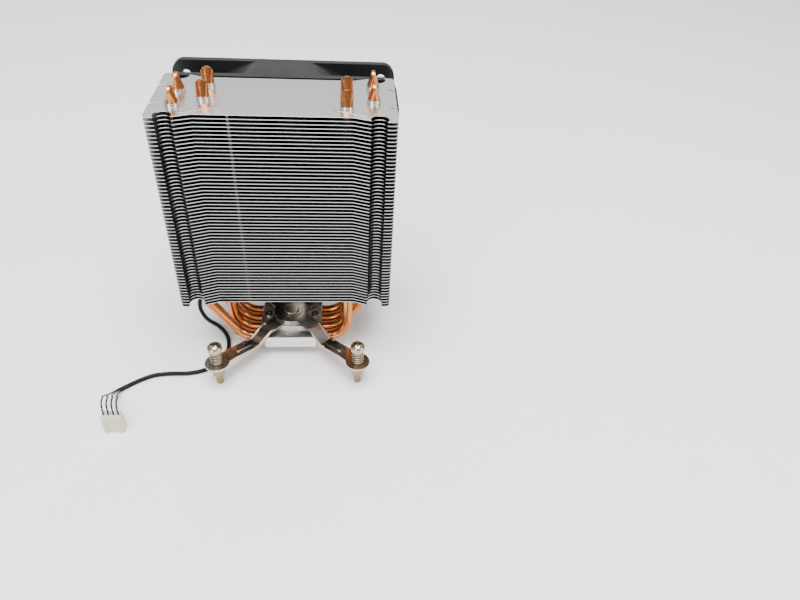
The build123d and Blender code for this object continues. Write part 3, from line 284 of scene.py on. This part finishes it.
PLASTICS = {             # colour, roughness, grains a millimetre, depth of the grain, coat, shine
    "fan_plastic": ((0.009, 0.009, 0.010), 0.34, 4.0, 0.006, 0.03, 0.3),
    "rotor_plastic": ((0.011, 0.011, 0.012), 0.32, 4.0, 0.005, 0.03, 0.35),
    "magnet": ((0.08, 0.075, 0.07), 0.6, 3.0, 0.01),
    "board": ((0.03, 0.16, 0.07), 0.4, 2.0, 0.01, 0.3),
    "grommet_rubber": ((0.02, 0.02, 0.02), 0.6, 3.0, 0.01),
    "cable_sleeve": ((0.005, 0.005, 0.006), 0.45, 3.0, 0.010, 0.0, 0.15),
    "wire_jacket": ((0.006, 0.006, 0.007), 0.40, 3.0, 0.006, 0.0, 0.35),
    "plug_ivory": ((0.60, 0.57, 0.42), 0.45, 3.0, 0.008),
}


def make_materials():
    made = {"fin_aluminium": sheet_stack("fin_aluminium")}
    for name, values in METALS.items():
        made[name] = metal(name, *values)
    for name, values in PLASTICS.items():
        made[name] = plastic(name, *values)
    return made


def floor_material():
    finish = Finish("floor_paper", (0.93, 0.93, 0.93), 0.0, 0.75)
    cloud = finish.noise(0.01, 2.0)
    finish.tint(finish.mix(cloud, (0.92, 0.92, 0.925), (0.95, 0.95, 0.95)))
    finish.bump(finish.noise(1.5), 0.01)
    return finish.material


# ---------------------------------------------------------------- mesh helpers
CURVE_ROUNDNESS = 5
CURVE_STEPS = 14


def new_object(name, mesh, material, body=None):
    made = bpy.data.objects.new(name, mesh)
    bpy.context.scene.collection.objects.link(made)
    made.data.materials.clear()
    made.data.materials.append(material)
    if body is not None:
        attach(made, body)
    return made


def tube_mesh(name, points, radius, sides):
    """Closed round tube through the points."""
    bm = bmesh.new()
    rings = []
    side = None
    for index, point in enumerate(points):
        ahead = points[min(index + 1, len(points) - 1)]
        behind = points[max(index - 1, 0)]
        way = (ahead - behind).normalized()
        if side is None:
            side = way.orthogonal().normalized()
        side = (side - way * side.dot(way)).normalized()
        other = way.cross(side)
        rings.append([
            bm.verts.new(point + radius * (math.cos(angle) * side + math.sin(angle) * other))
            for angle in (2 * math.pi * step / sides for step in range(sides))
        ])
    for first, second in zip(rings, rings[1:]):
        for step in range(sides):
            after = (step + 1) % sides
            bm.faces.new((first[step], first[after], second[after], second[step]))
    bm.faces.new(rings[0][::-1])
    bm.faces.new(rings[-1])
    mesh = bpy.data.meshes.new(name)
    bm.to_mesh(mesh)
    bm.free()
    mesh.shade_smooth()
    return mesh


def nurbs_curve(name, routes, diameter):
    """Curve object with one smooth spline for each route."""
    data = bpy.data.curves.new(name, "CURVE")
    data.dimensions = "3D"
    data.bevel_depth = diameter / 2
    data.bevel_resolution = CURVE_ROUNDNESS
    data.resolution_u = CURVE_STEPS
    data.use_fill_caps = True
    for route in routes:
        spline = data.splines.new("NURBS")
        spline.points.add(len(route) - 1)
        for point, place in zip(spline.points, route):
            point.co = (*place, 1)
        spline.order_u = 3
        spline.use_endpoint_u = True
    made = bpy.data.objects.new(name, data)
    bpy.context.scene.collection.objects.link(made)
    return made


# ---------------------------------------------------------------- fan lead
CABLE_OD = 2.5 * MM
WIRE_OD = 0.9 * MM
WIRE_SET = 0.605 * MM    # from the sleeve's axis to a wire's, across and up
WIRE_HIDDEN = 1.0 * MM   # length of a wire inside the sleeve
WIRE_STRAIGHT = 5 * MM   # length of a wire that goes on straight from the sleeve
WIRE_IN_PLUG = 1.0 * MM
PIN_PITCH = 2.54 * MM
ARCH_Z = 13 * MM         # top of the wires' arch over the plug
ARCH_Y = 6 * MM          # length of that arch
PLUG_BEVEL_MM = 0.25
CABLE_Z = FLOOR + CABLE_OD / 2
EXIT = (0.008, 0.034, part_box("cable_grommet")[0].z)
CABLE_ROUTE = [
    EXIT,
    (0.0080, 0.0340, 0.0170),
    (0.0050, 0.0420, 0.0050),
    (-0.0030, 0.0530, CABLE_Z),
    (-0.0190, 0.0620, CABLE_Z),
    (-0.0375, 0.0650, CABLE_Z),
    (-0.0535, 0.0585, CABLE_Z),
    (-0.0625, 0.0450, CABLE_Z),
    (-0.0645, 0.0290, CABLE_Z),
    (-0.0573, 0.0140, CABLE_Z),
    (-0.0464, 0.0066, CABLE_Z),
    (-0.0396, -0.0044, CABLE_Z),
    (-0.0384, -0.0170, CABLE_Z),
    (-0.0440, -0.0286, CABLE_Z),
    (-0.0560, -0.0346, CABLE_Z),
    (-0.0708, -0.0342, CABLE_Z),
    (-0.0826, -0.0364, CABLE_Z),
    (-0.0924, -0.0445, CABLE_Z),
]


def make_lead(materials):
    cable = nurbs_curve("lead_sleeve", [CABLE_ROUTE], CABLE_OD)
    cable.data.materials.append(materials["cable_sleeve"])
    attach(cable, "heatsink")
    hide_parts("fan_cable")
    plug = refine("fan_plug", PLUG_BEVEL_MM, materials)
    end = Vector(CABLE_ROUTE[-1])
    way = (end - Vector(CABLE_ROUTE[-2])).normalized()
    side = Vector((-way.y, way.x, 0))
    plug_low, plug_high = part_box("fan_plug")
    plug_x = (plug_low.x + plug_high.x) / 2
    plug_y = (plug_high.y + plug_low.y) / 2
    routes = []
    for lane in range(4):
        across = (lane - 1.5) * PIN_PITCH
        high = 1 if lane in (1, 2) else -1
        wide = 1 if lane in (2, 3) else -1
        start = end + side * (wide * WIRE_SET) + Vector((0, 0, high * WIRE_SET))
        routes.append([
            start - way * WIRE_HIDDEN,
            start + way * WIRE_STRAIGHT,
            (-0.0960 + across * 0.7, -0.0555, high * 0.4 * MM),
            (-0.0940 + across, -0.0640, 0.0075),
            (plug_x + across, plug_y + ARCH_Y, ARCH_Z),
            (plug_x + across, plug_y, ARCH_Z),
            (plug_x + across, plug_y, plug_high.z - WIRE_IN_PLUG),
        ])
    wires = nurbs_curve("lead_wires", routes, WIRE_OD)
    wires.data.materials.append(materials["wire_jacket"])
    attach(wires, "heatsink")
    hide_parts("fan_wires")


# ---------------------------------------------------------------- springs
SPRING_WIRE_R = 0.4 * MM
SPRING_STEPS = 26        # points in a turn
SPRING_SIDES = 10
SPRING_TURNS = 6.0
SPRING_CLOSED = 0.9      # turns at each end that touch the next
SPRING_LAY = 1.05        # rise of a closed turn over the wire's thickness


def make_spring(number, materials):
    """Compression spring with closed end coils, from the pad of its arm to the washer."""
    low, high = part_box(f"coil_spring_{number}")
    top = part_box(f"spring_washer_{number}")[0].z
    centre = (low + high) / 2
    radius = (high.x - low.x) / 2 - SPRING_WIRE_R
    start = low.z + SPRING_WIRE_R
    rise = top - SPRING_WIRE_R - start
    lay = 2 * SPRING_WIRE_R * SPRING_LAY
    points = []
    for step in range(int(SPRING_TURNS * SPRING_STEPS) + 1):
        turn = step / SPRING_STEPS
        if turn < SPRING_CLOSED:
            z = lay * turn
        elif turn > SPRING_TURNS - SPRING_CLOSED:
            z = rise - lay * (SPRING_TURNS - turn)
        else:
            open_share = (turn - SPRING_CLOSED) / (SPRING_TURNS - 2 * SPRING_CLOSED)
            z = lay * SPRING_CLOSED + open_share * (rise - 2 * lay * SPRING_CLOSED)
        angle = 2 * math.pi * turn
        points.append(Vector((
            centre.x + radius * math.cos(angle), centre.y + radius * math.sin(angle), start + z,
        )))
    mesh = tube_mesh(f"spring_coil_{number}", points, SPRING_WIRE_R, SPRING_SIDES)
    spring = new_object(f"spring_coil_{number}", mesh, materials["spring_steel"])
    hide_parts(f"coil_spring_{number}")
    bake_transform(spring)


# ---------------------------------------------------------------- refined copies of CAD nodes
BEVELS_MM = {
    "fan_frame": 0.5, "fan_clip_left": 0.35, "fan_clip_right": 0.35, "fan_screws": 0.15,
    "top_fin": 0.12, "base_block": 0.3, "base_cap": 0.3, "cap_screws": 0.12,
    "pivot_pin": 0.12, "pivot_washer": 0.1, "bracket_arm_a": 0.35, "bracket_arm_b": 0.35,
    "impeller": 0.25, "hub_label": 0.1,
    **{f"spring_screw_{number}": 0.16 for number in range(1, 5)},
    **{f"spring_washer_{number}": 0.1 for number in range(1, 5)},
    **{f"standoff_{number}": 0.3 for number in range(1, 5)},
}
SHARP = math.radians(32)
FLAT = math.radians(0.5)
WELD = 0.002 * MM
SHORTEST_EDGE = 0.02 * MM


def refined_mesh(node, width):
    """Copy of a node's mesh with its flat faces joined and its sharp edges rounded."""
    bm = bmesh.new()
    bm.from_mesh(node.data)
    bmesh.ops.remove_doubles(bm, verts=bm.verts, dist=WELD)
    bmesh.ops.dissolve_limit(
        bm, angle_limit=FLAT, use_dissolve_boundaries=False, verts=bm.verts, edges=bm.edges,
    )
    sharp = [
        edge for edge in bm.edges if len(edge.link_faces) == 2
        and edge.calc_face_angle(0) > SHARP and edge.calc_length() > SHORTEST_EDGE
    ]
    bmesh.ops.bevel(
        bm, geom=sharp, offset=width * MM, offset_type="OFFSET", segments=2, profile=0.5,
        affect="EDGES", clamp_overlap=True, loop_slide=True,
    )
    mesh = bpy.data.meshes.new(node.name + "_look")
    bm.to_mesh(mesh)
    bm.free()
    mesh.shade_smooth()
    mesh.set_sharp_from_angle(angle=SHARP)
    return mesh


def refine(name, width, materials):
    """Show a node's refined copy in its place."""
    record = frame["record"]
    body = next(body for body, names in record["behaviour"]["bodies"].items() if name in names)
    slot = next(entry["material_slot"] for entry in record["subparts"] if entry["node"] == name)
    look = new_object(name + "_look", refined_mesh(nodes[name], width), materials[slot], body)
    weighted = look.modifiers.new("flat_faces", "WEIGHTED_NORMAL")
    weighted.keep_sharp = True
    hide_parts(name)
    return look


# ---------------------------------------------------------------- CAD nodes that show as they are
def dress_nodes(materials):
    """Give each CAD node the finish of its slot in the record."""
    for entry in frame["record"]["subparts"]:
        node = nodes[entry["node"]]
        node.data.materials.clear()
        node.data.materials.append(materials[entry["material_slot"]])


make_camera()
materials = make_materials()
make_lead(materials)
for spring_number in range(1, 5):
    make_spring(spring_number, materials)
dress_nodes(materials)
for node_name, bevel_width in BEVELS_MM.items():
    refine(node_name, bevel_width, materials)
for light in LIGHTS:
    area_light(*light)
make_sky()
make_floor(floor_material())
